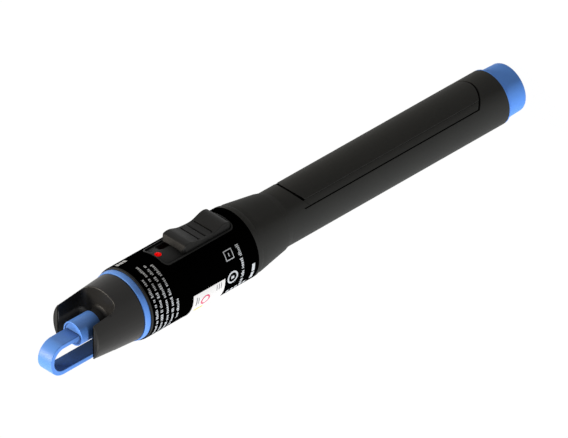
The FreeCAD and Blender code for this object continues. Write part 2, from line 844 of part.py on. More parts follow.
def indicator_lamp():
    """Red light pipe: a low dome on the tray and a stem down to the LED."""
    y_led = y_board_top - LED_SIZE[1]
    stem_len = bezel_floor_r + y_led
    pipe = turned(
        (0, 0),
        (LAMP_STEM_R, 0),
        (LAMP_STEM_R, stem_len),
        (LAMP_R, stem_len),
        dome(LAMP_R, stem_len, LAMP_BALL_R),
    )
    pipe.rotate(FreeCAD.Vector(0, 0, 0), FreeCAD.Vector(1, 0, 0), 90)
    pipe.translate(FreeCAD.Vector(0, y_led, z_lamp))
    return pipe


def indicator_led():
    """Surface-mounted LED under the light pipe."""
    w, h, length = LED_SIZE
    y1 = y_board_top
    return block(-w / 2, w / 2, y1 - h, y1, z_lamp - length / 2, z_lamp + length / 2)


def circuit_board():
    """Driver board, held by the bulkhead's rails and the diode's pins."""
    board = block(-board_half, board_half, y_board_top, y_board, z_board, z_board + BOARD_LEN)
    long_edges = [
        e for e in board.Edges
        if abs(e.Vertexes[0].Y - e.Vertexes[1].Y) > 1e-6
        and e.Vertexes[0].Z > z_board + 1
    ]
    return board.makeFillet(BOARD_CORNER_R, long_edges)


def driver_chip():
    """Laser driver chip under the board."""
    w, h, length = CHIP_SIZE
    z0 = z_board + CHIP_SETBACK
    return block(-w - CHIP_OFFSET, -CHIP_OFFSET, y_board, y_board + h, z0, z0 + length)


def capacitor():
    """Lying capacitor under the board."""
    z0 = z_board + CAPACITOR_SETBACK
    x = board_half - CAPACITOR_R - EDGE_MARGIN
    return rod(CAPACITOR_R, z0, z0 + CAPACITOR_L, x, y_board + CAPACITOR_R)


def power_trimmer():
    """Trimmer that sets the laser power."""
    w, h, length = TRIMMER_SIZE
    z0 = z_board + TRIMMER_SETBACK
    x0 = EDGE_MARGIN - board_half
    return block(x0, x0 + w, y_board, y_board + h, z0, z0 + length)


def contact_bulkhead():
    """Insulating plug between cells and head, with rails for the board."""
    plug_r_in = bore_r - BULKHEAD_PLAY
    flange_r = cavity_r - BULKHEAD_PLAY
    plug = turned(
        (0, z_contact),
        (RIVET_HEAD_R + 0.05, z_contact),
        (plug_r_in, z_contact),
        (plug_r_in, z_seat),
        (flange_r, z_seat),
        (flange_r, z_board),
        (0, z_board),
    )
    y0 = y_board_top - RAIL_T
    y1 = y_board + RAIL_T
    for side in (-1, 1):
        x0, x1 = sorted((side * (board_half - 0.6), side * (board_half - 0.6 + RAIL_W)))
        rail = block(x0, x1, y0, y1, z_board - 0.5, z_board + RAIL_L)
        plug = plug.fuse(rail.common(rod(flange_r, z_board - 1, z_board + RAIL_L)))
    play = 0.05
    board_slot = block(
        -board_half - play, board_half + play, y_board_top - play, y_board + play,
        z_board, z_board + RAIL_L + 1,
    )
    rivet = rod(RIVET_R + 0.02, z_contact - 1, z_board + 1)
    head = rod(RIVET_HEAD_R + 0.05, z_contact - 1, z_contact + RIVET_HEAD_T)
    half = STRIP_W / 2 + STRIP_PLAY
    notch = block(-half, half, bore_r - STRIP_PLAY, FAR, z_contact - 1, z_board + 1)
    return plug.cut([board_slot, rivet, head, notch]).removeSplitter()


def positive_contact():
    """Plated rivet that the front cell's nub presses on."""
    return turned(
        (0, z_contact),
        (RIVET_HEAD_R, z_contact),
        (RIVET_HEAD_R, z_contact + RIVET_HEAD_T),
        (RIVET_R, z_contact + RIVET_HEAD_T),
        (RIVET_R, z_board),
        (RIVET_TAIL_R, z_board),
        (RIVET_TAIL_R, z_board + RIVET_TAIL_L),
        (0, z_board + RIVET_TAIL_L),
    )


def negative_strip():
    """Plated strip from the tail plug's rim to the head, bent over the bulkhead."""
    y0 = bore_r + STRIP_PLAY
    y1 = y0 + STRIP_T
    half = STRIP_W / 2
    run = block(-half, half, y0, y1, z_plug + 0.1, z_board + STRIP_T)
    foot = block(-half, half, y1 - STRIP_FOOT, y1, z_board, z_board + STRIP_T)
    return run.fuse(foot).removeSplitter()


def cell(number):
    """AA cell with its nub towards the laser."""
    z0 = z_cell + number * CELL_LEN
    z1 = z0 + CELL_LEN
    r = CELL_D / 2
    return turned(
        (0, z0),
        (r - CELL_CHAMFER, z0),
        (r, z0 + CELL_CHAMFER),
        (r, z1 - NUB_H - CELL_CHAMFER),
        (r - CELL_CHAMFER, z1 - NUB_H),
        (NUB_D / 2, z1 - NUB_H),
        (NUB_D / 2, z1),
        (0, z1),
    )


def spring_seat():
    """Contact disc in the floor of the tail cap."""
    return rod(SEAT_R, CAP_FLOOR, CAP_FLOOR + SEAT_T)


def battery_spring():
    """Coil spring from the contact disc to the rear cell: half turns that lean in turn.

    The wire is drawn with flat sides, which keeps this hidden piece light.
    """
    wire_r = SPRING_WIRE / 2
    z0 = CAP_FLOOR + SEAT_T + wire_r
    rise = (z_cell - wire_r - z0) / (2 * SPRING_TURNS)
    lean = math.asin(rise / 2 / SPRING_R)
    halves = []
    for number in range(2 * SPRING_TURNS):
        side = 1 if number % 2 == 0 else -1
        x = side * SPRING_R * math.cos(lean)
        z = z0 + number * rise
        corners = []
        for corner in range(SPRING_SIDES):
            angle = 2 * math.pi * (corner + 0.5) / SPRING_SIDES
            across, along = wire_r * math.cos(angle), wire_r * math.sin(angle)
            corners.append(FreeCAD.Vector(x + across, 0, z + along))
        section = Part.Face(Part.makePolygon(corners + corners[:1]))
        middle = FreeCAD.Vector(0, 0, z + rise / 2)
        axis = FreeCAD.Vector(side * math.sin(lean), 0, math.cos(lean))
        halves.append(section.revolve(middle, axis, 180))
    return halves[0].multiFuse(halves[1:]).removeSplitter()


def tail_cap():
    """Blue screw cap: flat end to stand on, flange and threaded plug."""
    z_flange = CAP_LEN - FLANGE_T
    neck = z_flange - FLANGE_FILLET
    flange_r = grip_r - FLANGE_SETBACK
    e = CAP_EDGE_R
    f = FLANGE_FILLET
    z_groove = CAP_LEN + SEAL_SETBACK - SEAL_PLAY
    z_groove_end = CAP_LEN + SEAL_SETBACK + SEAL_L + SEAL_PLAY
    groove_r = tail_bore_r - SEAL_T - 2 * SEAL_PLAY
    return turned(
        (0, 0),
        (CAP_END_R - e, 0),
        (CAP_END_R - ROUND_SHARE * e, ROUND_SHARE * e),
        (CAP_END_R, e),
        (CAP_NECK_R, neck),
        (
            (CAP_NECK_R + ROUND_SHARE * f, z_flange - ROUND_SHARE * f),
            (CAP_NECK_R + f, z_flange),
        ),
        (flange_r, z_flange),
        (flange_r, CAP_LEN),
        (plug_r, CAP_LEN),
        (plug_r, z_groove),
        (groove_r, z_groove),
        (groove_r, z_groove_end),
        (plug_r, z_groove_end),
        (plug_r, z_plug - 0.4),
        (plug_r - 0.4, z_plug),
        (CAP_CUP_R, z_plug),
        (CAP_CUP_R, CAP_FLOOR),
        (0, CAP_FLOOR),
    )


def tail_seal():
    """Rubber ring on the plug, next to the flange."""
    r_out = tail_bore_r - SEAL_PLAY
    z0 = CAP_LEN + SEAL_SETBACK
    return tube(r_out - SEAL_T, r_out, z0, z0 + SEAL_L)


def pocket_clip():
    """Long blade of the clip, flush with the grip, staked at its rear end."""
    z0, z1 = z_clip - 2, z_clip + CLIP_LEN + 4
    inner = clip_out_r - CLIP_T
    blade = sector(inner, clip_out_r, -CLIP_HALF_ANGLE, CLIP_HALF_ANGLE, z0, z1)
    blade = blade.common(clip_ends(REAR_GROOVE_W, 0))
    return blade.fuse(stakes(STAKE_R, STAKE_DEPTH)).removeSplitter()


PIECES = {
    "body_tube": body_tube,
    "label_wrap": label_wrap,
    "blank_sticker": blank_sticker,
    "collar_ring": collar_ring,
    "strap": strap,
    "dust_cap": dust_cap,
    "front_bumper": front_bumper,
    "front_gasket": front_gasket,
    "port_adapter": port_adapter,
    "split_sleeve": split_sleeve,
    "laser_module": laser_module,
    "laser_diode": laser_diode,
    "focusing_lens": focusing_lens,
    "lens_retainer": lens_retainer,
    "switch_bezel": switch_bezel,
    "slider_button": slider_button,
    "switch_lever": switch_lever,
    "slide_switch": slide_switch,
    "indicator_lamp": indicator_lamp,
    "indicator_led": indicator_led,
    "circuit_board": circuit_board,
    "driver_chip": driver_chip,
    "capacitor": capacitor,
    "power_trimmer": power_trimmer,
    "contact_bulkhead": contact_bulkhead,
    "positive_contact": positive_contact,
    "negative_strip": negative_strip,
    "cell_rear": lambda: cell(0),
    "cell_front": lambda: cell(1),
    "spring_seat": spring_seat,
    "battery_spring": battery_spring,
    "tail_cap": tail_cap,
    "tail_seal": tail_seal,
    "pocket_clip": pocket_clip,
}

os.makedirs("parts", exist_ok=True)
for name, make in PIECES.items():
    shape = make()
    solids = shape.Solids
    piece = solids[0] if len(solids) == 1 else Part.makeCompound(solids)
    piece.exportStep(f"parts/{name}.step")
    box = piece.BoundBox
    print(
        f"{name:18s} solids {len(solids)} valid {piece.isValid()} volume {piece.Volume:9.2f}"
        f"  x {box.XMin:7.2f} {box.XMax:7.2f}  y {box.YMin:7.2f} {box.YMax:7.2f}"
        f"  z {box.ZMin:7.2f} {box.ZMax:7.2f}"
    )
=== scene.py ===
"""Looks of a pen-shaped visual fault locator: moulded body, label, switch, guard, blue cap and strap.

Metres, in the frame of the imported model: +Z along the pen to the laser port, -Y to the switch.
The named sizes of pieces are in millimetres, and those of the studio and camera in metres.
Angles round the pen are in degrees, from -Y towards -X.
"""

import math
import random

import bmesh
import bpy
from mathutils import Matrix, Vector


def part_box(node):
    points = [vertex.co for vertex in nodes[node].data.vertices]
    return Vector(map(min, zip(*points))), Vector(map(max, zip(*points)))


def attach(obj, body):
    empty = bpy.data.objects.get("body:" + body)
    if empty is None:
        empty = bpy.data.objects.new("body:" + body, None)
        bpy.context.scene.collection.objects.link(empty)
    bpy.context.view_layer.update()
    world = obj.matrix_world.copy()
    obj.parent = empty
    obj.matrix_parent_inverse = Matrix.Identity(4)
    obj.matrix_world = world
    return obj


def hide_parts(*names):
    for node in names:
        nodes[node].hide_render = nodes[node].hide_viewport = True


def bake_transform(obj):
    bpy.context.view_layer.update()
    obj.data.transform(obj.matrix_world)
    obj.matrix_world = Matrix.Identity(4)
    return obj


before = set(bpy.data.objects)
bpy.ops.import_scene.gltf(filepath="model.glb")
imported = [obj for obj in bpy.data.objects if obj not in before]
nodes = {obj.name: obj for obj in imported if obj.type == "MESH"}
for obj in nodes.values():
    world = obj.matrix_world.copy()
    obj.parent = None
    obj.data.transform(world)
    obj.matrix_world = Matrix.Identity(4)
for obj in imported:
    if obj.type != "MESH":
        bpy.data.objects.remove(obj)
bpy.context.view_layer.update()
MM = 0.001

# ---------------------------------------------------------------- grip, cone and head
# One moulding in black ABS. Its tool was spark-eroded, so a satin grain breaks the light into a soft
# dark sheen. The grain is drawn coarser than the real 0.05 mm or so, to show. Light doesn't reach
# the floors of the narrow grooves round the clip, so they are painted near-black and dull as shade.
GRAIN = 0.35
GRAIN_GLOSS = 0.05
CLOUD = 11.1
CLIP_PROUD = 0.05
GROOVE_SHADE_START = 0.14
GROOVE_SHADE_END = 0.26
GROOVE_PAINTED_SHADE = "#020202"
DULL = 0.95
RGBA = {"data_type": "RGBA"}


def linear(code):
    """sRGB hex to the linear colour that a socket takes."""
    shares = [int(code[i : i + 2], 16) / 255 for i in (1, 3, 5)]
    return [c / 12.92 if c <= 0.04045 else ((c + 0.055) / 1.055) ** 2.4 for c in shares] + [1.0]


def add(tree, kind, settings=None, **inputs):
    """Adds a node with its settings and inputs, each a value or a socket to link. An input's name
    has _ for a space, or is "at" and its number."""
    made = tree.nodes.new("ShaderNode" + kind)
    for key, value in (settings or {}).items():
        setattr(made, key, value)
    for key, value in inputs.items():
        socket = made.inputs[int(key[2:]) if key.startswith("at") else key.replace("_", " ")]
        if isinstance(value, bpy.types.NodeSocket):
            tree.links.new(value, socket)
        else:
            socket.default_value = value
    return made


def new_material(name):
    """Material with a plain Principled shader. Returns material, tree and shader."""
    material = bpy.data.materials.new(name)
    material.use_nodes = True
    tree = material.node_tree
    return material, tree, tree.nodes["Principled BSDF"]


def moulded(name, colour, shade, roughness, depth, specular, grain=GRAIN):
    """Moulded plastic: two close colours in broad clouds, and a spark-eroded grain of a depth."""
    material, tree, shader = new_material(name)
    place = add(tree, "TexCoord").outputs["Object"]
    cloud = add(tree, "TexNoise", Vector=place, Scale=1 / (CLOUD * MM), Detail=2.0).outputs["Fac"]
    skin = add(tree, "Mix", RGBA, Factor=cloud, at6=linear(colour), at7=linear(shade))
    tree.links.new(skin.outputs[2], shader.inputs["Base Color"])
    fine = add(tree, "TexNoise", Vector=place, Scale=1 / (grain * MM), Detail=2.0, Roughness=0.6)
    height = fine.outputs["Fac"]
    low, high = roughness - GRAIN_GLOSS, roughness + GRAIN_GLOSS
    gloss = add(tree, "MapRange", Value=height, To_Min=low, To_Max=high)
    tree.links.new(gloss.outputs[0], shader.inputs["Roughness"])
    bump = add(tree, "Bump", Height=height, Strength=1.0, Distance=depth * MM)
    tree.links.new(bump.outputs[0], shader.inputs["Normal"])
    shader.inputs["Specular IOR Level"].default_value = specular
    return material


def unlit(material, lit, dark):
    """Paints shade on a moulded plastic: a dark, dull colour where lit, a socket, falls from 1 to 0."""
    tree = material.node_tree
    inputs = tree.nodes["Principled BSDF"].inputs
    bright, gloss = (inputs[key].links[0].from_socket for key in ("Base Color", "Roughness"))
    skin = add(tree, "Mix", RGBA, Factor=lit, at6=linear(dark), at7=bright)
    tree.links.new(skin.outputs[2], inputs["Base Color"])
    dulled = add(tree, "Mix", {"data_type": "FLOAT"}, Factor=lit, at2=DULL, at3=gloss)
    tree.links.new(dulled.outputs[0], inputs["Roughness"])


def dress(material, *names):
    """Gives CAD nodes their finish."""
    for name in names:
        nodes[name].data.materials.clear()
        nodes[name].data.materials.append(material)


black_abs = moulded("black_abs_satin", "#363737", "#3A3B3A", roughness=0.6, depth=0.004, specular=0.05)
grip_r = -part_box("pocket_clip")[0][1] / MM - CLIP_PROUD
tree = black_abs.node_tree
place = add(tree, "TexCoord").outputs["Object"]
across = add(tree, "VectorMath", {"operation": "MULTIPLY"}, at0=place, at1=(1, 1, 0))
radius = add(tree, "VectorMath", {"operation": "LENGTH"}, at0=across.outputs[0])
lit = add(
    tree,
    "MapRange",
    Value=radius.outputs["Value"],
    From_Min=(grip_r - GROOVE_SHADE_END) * MM,
    From_Max=(grip_r - GROOVE_SHADE_START) * MM,
)
# Painted shade: below the grip's skin, on the groove floors, the colour goes near-black and dull.
unlit(black_abs, lit.outputs[0], GROOVE_PAINTED_SHADE)
dress(black_abs, "body_tube")

# ---------------------------------------------------------------- pocket clip
# Spring blade in the same black ABS as the grip and level with it, staked at its rear end. What
# shows of it is the thin dark line of the groove round it: a real gap, with shade painted on its floor.
BLADE_EDGE_R = 0.12
SHARP_TURN = 35.0
SMOOTH_TURN = 40.0
FLAT_TURN = 0.5
SAME_POINT = 0.001


def piece(name, shape, body, material, *replaced):
    """Ends a bmesh as an object that rides on its body."""
    mesh = bpy.data.meshes.new(name)
    shape.to_mesh(mesh)
    shape.free()
    mesh.shade_smooth()
    mesh.set_sharp_from_angle(angle=math.radians(SMOOTH_TURN))
    mesh.materials.append(material)
    made = bpy.data.objects.new(name, mesh)
    bpy.context.scene.collection.objects.link(made)
    made.modifiers.new("flat_faces", "WEIGHTED_NORMAL").keep_sharp = True
    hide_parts(*replaced)
    if body:
        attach(made, body)
    return made


def rounded(shape, edges, edge_r, clamp):
    """Gives edges the radius that a mould leaves."""
    bmesh.ops.bevel(
        shape,
        geom=edges,
        offset=edge_r * MM,
        affect="EDGES",
        segments=3,
        profile=0.5,
        clamp_overlap=clamp,
        material=-1,
    )


def pressed(name, node, body, material, edge_r, turn=SHARP_TURN, within=lambda point: True):
    """A CAD node as one closed skin. Its outward edges get a radius where they turn sharply and
    their ends, in mm, are within a place."""
    shape = bmesh.new()
    shape.from_mesh(nodes[node].data)
    bmesh.ops.remove_doubles(shape, verts=shape.verts, dist=SAME_POINT * MM)
    flat = math.radians(FLAT_TURN)
    bmesh.ops.dissolve_limit(shape, angle_limit=flat, verts=shape.verts, edges=shape.edges)
    sharp = [edge for edge in shape.edges if edge.calc_face_angle(0) > math.radians(turn)]
    rim = [edge for edge in sharp if edge.is_convex and all(within(v.co / MM) for v in edge.verts)]
    rounded(shape, rim, edge_r, clamp=False)
    return piece(name, shape, body, material, node)


clip = pressed("clip_blade", "pocket_clip", "clip", black_abs, BLADE_EDGE_R)

# ---------------------------------------------------------------- tail cap and its seal
# Screw cap moulded in blue ABS, with a fine witness ring round its neck. A satin grain keeps its
# sides soft and its colour even. The O-ring under it and the front gasket are dull nitrile rubber.
CAP_EDGE_R = 0.15

blue_abs = moulded("blue_abs_satin", "#66A2FF", "#629DFA", roughness=0.55, depth=0.003, specular=0.15)
cap = pressed("screw_cap", "tail_cap", "tail_cap", blue_abs, CAP_EDGE_R)

nitrile = moulded("nitrile_rubber", "#181818", "#1E1E1E", roughness=0.7, depth=0.003, specular=0.3)
dress(nitrile, "tail_seal", "front_gasket")

# ---------------------------------------------------------------- spring, cells and contacts
# Coned spring and stamped contacts in nickel-plated steel, whose fine tool marks streak the shine,
# and two cells in printed sleeves: glossy black, then copper colour, with bare steel at the ends.
# The tool marks are drawn a few times coarser than real ones, to show.
WIRE_MARK = 0.12
MARK_DEPTH = 0.002
MARK_GLOSS = 0.06
WAVE_SCALE = 0.314  # at this scale a Wave texture has one band to the unit
STEEL = "#B9B8B4"
CELL_LEN = 50.5
SLEEVE_BANDS = ((0.02, "#16181C"), (0.74, "#B07A45"), (0.965, STEEL))


def metal(name, colour, roughness, pitch):
    """Bare or plated metal with tool marks across the pen's axis."""
    material, tree, shader = new_material(name)
    place = add(tree, "TexCoord").outputs["Object"]
    scale = WAVE_SCALE / (pitch * MM)
    marks = add(tree, "TexWave", {"bands_direction": "Z"}, Vector=place, Scale=scale, Distortion=1.5)
    height = marks.outputs["Fac"]
    low, high = roughness - MARK_GLOSS, roughness + MARK_GLOSS
    gloss = add(tree, "MapRange", Value=height, To_Min=low, To_Max=high)
    tree.links.new(gloss.outputs[0], shader.inputs["Roughness"])
    bump = add(tree, "Bump", Height=height, Strength=0.6, Distance=MARK_DEPTH * MM)
    tree.links.new(bump.outputs[0], shader.inputs["Normal"])
    shader.inputs["Base Color"].default_value = linear(colour)
    shader.inputs["Metallic"].default_value = 1.0
    return material


plated_steel = metal("nickel_plated_steel", STEEL, roughness=0.32, pitch=WIRE_MARK)
dress(plated_steel, "spring_seat", "positive_contact", "negative_strip")
dress(plated_steel, "capacitor", "laser_diode", "slide_switch")
shape = bmesh.new()
shape.from_mesh(nodes["battery_spring"].data)
bmesh.ops.remove_doubles(shape, verts=shape.verts, dist=SAME_POINT * MM)
coil = piece("spring_coil", shape, None, plated_steel, "battery_spring")
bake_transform(coil)

cell_sleeve, tree, shader = new_material("printed_cell_sleeve")
height = add(tree, "SeparateXYZ", Vector=add(tree, "TexCoord").outputs["Object"]).outputs["Z"]
above = add(tree, "Math", {"operation": "SUBTRACT"}, at0=height, at1=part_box("cell_rear")[0][2])
cells = add(tree, "Math", {"operation": "DIVIDE"}, at0=above.outputs[0], at1=CELL_LEN * MM)
along = add(tree, "Math", {"operation": "FRACT"}, at0=cells.outputs[0])
bands = add(tree, "ValToRGB", Fac=along.outputs[0])
ramp = bands.color_ramp
ramp.interpolation = "CONSTANT"
ramp.elements.remove(ramp.elements[1])
ramp.elements[0].color = linear(STEEL)
for start, code in SLEEVE_BANDS:
    ramp.elements.new(start).color = linear(code)
tree.links.new(bands.outputs["Color"], shader.inputs["Base Color"])
shader.inputs["Roughness"].default_value = 0.3
dress(cell_sleeve, "cell_rear", "cell_front")

# Moulded glass-filled nylon, dark and dull, holds the contacts apart and drives the switch.
black_nylon = moulded("black_nylon", "#1A1A1A", "#202020", roughness=0.55, depth=0.003, specular=0.3)
dress(black_nylon, "contact_bulkhead", "switch_lever", "power_trimmer")

# ---------------------------------------------------------------- circuit board
# Glass-fibre board under a glossy coat of green solder mask that lets the weave show, with the driver
# chip in dull black epoxy, and the lamp's LED in clouded epoxy, which looks milky.
WEAVE = 0.5
EPOXY_GRAIN = 0.15

solder_mask, tree, shader = new_material("green_solder_mask")
place = add(tree, "TexCoord").outputs["Object"]
scale = WAVE_SCALE / (WEAVE * MM)
weave = add(tree, "TexWave", {"bands_direction": "X"}, Vector=place, Scale=scale, Distortion=0.4)
mask = add(tree, "Mix", RGBA, Factor=weave.outputs["Fac"], at6=linear("#0C4A26"), at7=linear("#0F5A2E"))
tree.links.new(mask.outputs[2], shader.inputs["Base Color"])
shader.inputs["Roughness"].default_value = 0.3
shader.inputs["Coat Weight"].default_value = 0.4
dress(solder_mask, "circuit_board")

black_epoxy = moulded("black_epoxy", "#151515", "#1B1B1B", 0.6, 0.002, 0.4, EPOXY_GRAIN)
dress(black_epoxy, "driver_chip")
clouded_epoxy = moulded("diffusing_epoxy", "#E4DCC4", "#DCD3B8", 0.4, 0.002, 0.5, EPOXY_GRAIN)
dress(clouded_epoxy, "indicator_led")

# ---------------------------------------------------------------- laser module
# Turned brass barrel that holds the diode, with a polished glass lens under a brass retainer. The
# lathe's marks ring the brass and stretch its highlights, and the lens is clear.
BRASS_MARK = 0.2

brass = metal("turned_brass", "#C9A658", roughness=0.3, pitch=BRASS_MARK)
dress(brass, "laser_module", "lens_retainer")

lens_glass, _, shader = new_material("polished_optical_glass")
shader.inputs["Base Color"].default_value = linear("#F4F8FA")
shader.inputs["Roughness"].default_value = 0.02
shader.inputs["Transmission Weight"].default_value = 1.0
shader.inputs["IOR"].default_value = 1.52
dress(lens_glass, "focusing_lens")

# ---------------------------------------------------------------- optical port
# Turned nickel-plated adapter, a warm grey with fine rings, and in it a ground ceramic sleeve that
# lines up the ferrule. The sleeve is a smooth ivory white.
NICKEL_MARK = 0.25
GROUND_GRAIN = 0.1

plated_brass = metal("turned_nickel", "#A9A8A2", roughness=0.28, pitch=NICKEL_MARK)
dress(plated_brass, "port_adapter")

zirconia = moulded("ground_zirconia", "#ECE9DF", "#E6E2D6", 0.2, 0.001, 0.6, GROUND_GRAIN)
dress(zirconia, "split_sleeve")

# ---------------------------------------------------------------- label and its print
# Black vinyl film round the head, the deepest and least shiny black on the pen, screen-printed in
# flat white: rows of small marks by the ring and a few by the cone. The print is drawn flat, as on
# the printer's sheet, and rolled round the head.
FILM_SIDE = 0.02
ROW_HEIGHT = 1.0
SHORT_BIT = 0.72
BIT_WIDTH = (0.22, 0.55)
BIT_GAP = 0.2
WORD_BITS = (2, 8)
WORD_GAP = 0.6
MARK_STEP = 0.4
RING_SIDES = 32
# Rows: first angle, last angle and height up the pen.
RING_ROWS = ((27, 140, 161.2), (4, 140, 159.15), (8, 138, 156.9), (13, 136, 154.7), (77, 114, 152.55))
CONE_ROW = (49, 116, 125.3)
CONE_ROW_HEIGHT = 1.2
# Single marks: angle and height of the middle, or of the first of several that stand in a column.
CONE_BARS = ((96.7, 120.7), (112.7, 120.7))
CONE_BAR_SIZE = (2.9, 1.2)
LADDER = (123, 123.0)
LADDER_STEPS = 5
LADDER_PITCH = 1.75
LADDER_SIZE = (1.3, 1.0)
TARGET = (93.3, 129.5)
TARGET_R = 2.2
TARGET_LINE = 0.6
TARGET_CORE = (1.0, 1.2)
SQUARE = (57, 129.3)
SQUARE_SIDE = 3.0
SQUARE_BAR = (3.3, 0.28)
SQUARE_CORE = (1.1, 0.35)
STACK = (-25, 158.4)
STACK_BARS = 3
STACK_PITCH = 1.4
STACK_SIZE = (1.7, 1.1)

label_vinyl = moulded("black_vinyl_film", "#010101", "#020202", roughness=0.6, depth=0.001, specular=0.0)
dress(label_vinyl, "label_wrap")
head_r = -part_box("label_wrap")[0][0] / MM

white_ink = moulded("white_screen_ink", "#D6DCE2", "#CFD5DB", roughness=0.6, depth=0.001, specular=0.2)


def around(angle):
    """Distance round the head to an angle."""
    return math.radians(angle) * head_r


def mark(sheet, x, y, width, height):
    """Rectangle of ink on the flat sheet: x is the distance round the head and y the height."""
    steps = max(1, round(width / MARK_STEP))
    made = bmesh.ops.create_grid(sheet, x_segments=steps, y_segments=1, size=0.5)["verts"]
    bmesh.ops.scale(sheet, vec=(width, height, 1), verts=made)
    bmesh.ops.translate(sheet, vec=(x, y, 0), verts=made)


def ring_mark(sheet, x, y, radius, line, core):
    """Plain ring of a line's width on the flat sheet, with a block, the core, in its middle."""
    verts = []
    for rim in (radius, radius - line):
        verts += bmesh.ops.create_circle(sheet, segments=RING_SIDES, radius=rim)["verts"]
    edges = dict.fromkeys(edge for v in verts for edge in v.link_edges)
    bmesh.ops.bridge_loops(sheet, edges=list(edges))
    bmesh.ops.translate(sheet, vec=(x, y, 0), verts=verts)
    mark(sheet, x, y, *core)


def text_row(sheet, dice, start, end, y, height):
    """Row of small plain marks in word-like groups, from one angle to the other."""
    x, stop = around(start), around(end)
    while x < stop:
        for _ in range(dice.randint(*WORD_BITS)):
            width = dice.uniform(*BIT_WIDTH)
            tall = height * dice.choice((SHORT_BIT, SHORT_BIT, 1.0))
            mark(sheet, x + width / 2, y + (tall - height) / 2, width, tall)
            x += width + BIT_GAP
        x += WORD_GAP


def rolled(name, sheet, radius, material):
    """Gives the ink on a flat sheet its thickness and rolls it round the pen at a radius."""
    bmesh.ops.solidify(sheet, geom=sheet.faces[:], thickness=2 * FILM_SIDE)
    middle = sum(v.co.z for v in sheet.verts) / len(sheet.verts)
    for v in sheet.verts:
        angle = v.co.x / head_r
        out = radius + v.co.z - middle
        v.co = Vector((-out * math.sin(angle), -out * math.cos(angle), v.co.y)) * MM
    bmesh.ops.recalc_face_normals(sheet, faces=sheet.faces)
    piece(name, sheet, "body", material)


dice = random.Random(7)
sheet = bmesh.new()
for start, end, y in RING_ROWS:
    text_row(sheet, dice, start, end, y, ROW_HEIGHT)
text_row(sheet, dice, *CONE_ROW, CONE_ROW_HEIGHT)
for angle, y in CONE_BARS:
    mark(sheet, around(angle), y, *CONE_BAR_SIZE)
for step in range(LADDER_STEPS):
    mark(sheet, around(LADDER[0]), LADDER[1] + LADDER_PITCH * step, *LADDER_SIZE)
ring_mark(sheet, around(TARGET[0]), TARGET[1], TARGET_R, TARGET_LINE, TARGET_CORE)
square_x, square_y = around(SQUARE[0]), SQUARE[1]
for half in (-SQUARE_SIDE / 2, SQUARE_SIDE / 2):
    mark(sheet, square_x + half, square_y, SQUARE_BAR[1], SQUARE_BAR[0])
    mark(sheet, square_x, square_y + half, SQUARE_BAR[0], SQUARE_BAR[1])
mark(sheet, square_x, square_y, *SQUARE_CORE)
for step in range(STACK_BARS):
    mark(sheet, around(STACK[0]), STACK[1] + STACK_PITCH * step, *STACK_SIZE)
rolled("label_print", sheet, head_r, white_ink)

# ---------------------------------------------------------------- sticker
# Coated white paper stuck on the label, bright and smooth beside the film, and printed in flat ink
# with a pink ring, a yellow bar and grey rows.
COAT_GRAIN = 0.25
PINK_RING = (107, 140.6)
PINK_RING_R = 1.85
PINK_LINE = 0.55
PINK_CORE = (0.9, 0.5)
# Bars: angle and height up the pen, then width and height.
YELLOW_BAR = (123, 142.3, 1.0, 3.6)
GREY_BARS = (
    (96, 134.3, 2.2, 0.3),
    (96, 135.2, 2.2, 0.3),
    (96, 136.1, 2.2, 0.3),
    (102, 144.4, 3.4, 0.4),
    (102, 143.6, 2.6, 0.3),
)

paper = moulded("coated_paper", "#F2F3F4", "#EDEEEF", 0.6, 0.002, 0.2, COAT_GRAIN)
dress(paper, "blank_sticker")
sticker_r = -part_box("blank_sticker")[0][0] / MM

pink, yellow, grey = bmesh.new(), bmesh.new(), bmesh.new()
ring_mark(pink, around(PINK_RING[0]), PINK_RING[1], PINK_RING_R, PINK_LINE, PINK_CORE)
mark(yellow, around(YELLOW_BAR[0]), *YELLOW_BAR[1:])
for bar in GREY_BARS:
    mark(grey, around(bar[0]), *bar[1:])
for name, sheet, code in (
    ("sticker_pink", pink, "#E2567C"),
    ("sticker_yellow", yellow, "#E7DF4A"),
    ("sticker_grey", grey, "#7C7C80"),
):
    ink = moulded(name + "_ink", code, code, roughness=0.6, depth=0.001, specular=0.2)
    rolled(name, sheet, sticker_r, ink)

# ---------------------------------------------------------------- switch
# Charcoal ABS bezel let into the head, and a thumb slider with a ribbed hollow between two humps. A
# fine grain gives both a low sheen; in the tray between them shade is painted dark and dull.
TRAY_CREVICE = 7.0
TRAY_EDGE_R = 0.09
SLOT_SIDES = (1.2, 3.9)
SLOT_FRONT = 146.05
SLOT_END_BAND = 0.3
SLOT_OPENED = 1.1
SLIDER_EDGE_R = 0.16
SLIDER_TURN = 30.0
SLIDER_FOOT = -11.9
SLIDER_SIDE = 0.9
SLIDER_END = 1.6


def dimmed(material, reach, dark, shut, open_sky):
    """Paints shade on a moulded plastic, dark and dull, where other faces stand within reach. It does
    so fully where the share of open sky is shut or less, and not at all from open_sky up."""
    tree = material.node_tree
    sky = add(tree, "AmbientOcclusion", {"samples": 8}, Distance=reach * MM)
    lit = add(tree, "MapRange", Value=sky.outputs["AO"], From_Min=shut, From_Max=open_sky)
    unlit(material, lit.outputs[0], dark)


charcoal_abs = moulded("charcoal_abs", "#141413", "#171716", roughness=0.48, depth=0.002, specular=0.17)
# Painted shade: near-black and dull where the bezel's walls and the slider crowd round a face.
dimmed(charcoal_abs, TRAY_CREVICE, "#020202", shut=0.6, open_sky=1.0)
bezel = pressed("switch_tray", "switch_bezel", "body", charcoal_abs, TRAY_EDGE_R)
# The slider's slot ends a little further forward than in the solid.
for v in bezel.data.vertices:
    in_slot = SLOT_SIDES[0] < v.co.x / MM < SLOT_SIDES[1]
    if in_slot and abs(v.co.z / MM - SLOT_FRONT) < SLOT_END_BAND:
        v.co.z += SLOT_OPENED * MM

slider_low, slider_high = (Vector(corner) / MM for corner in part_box("slider_button"))


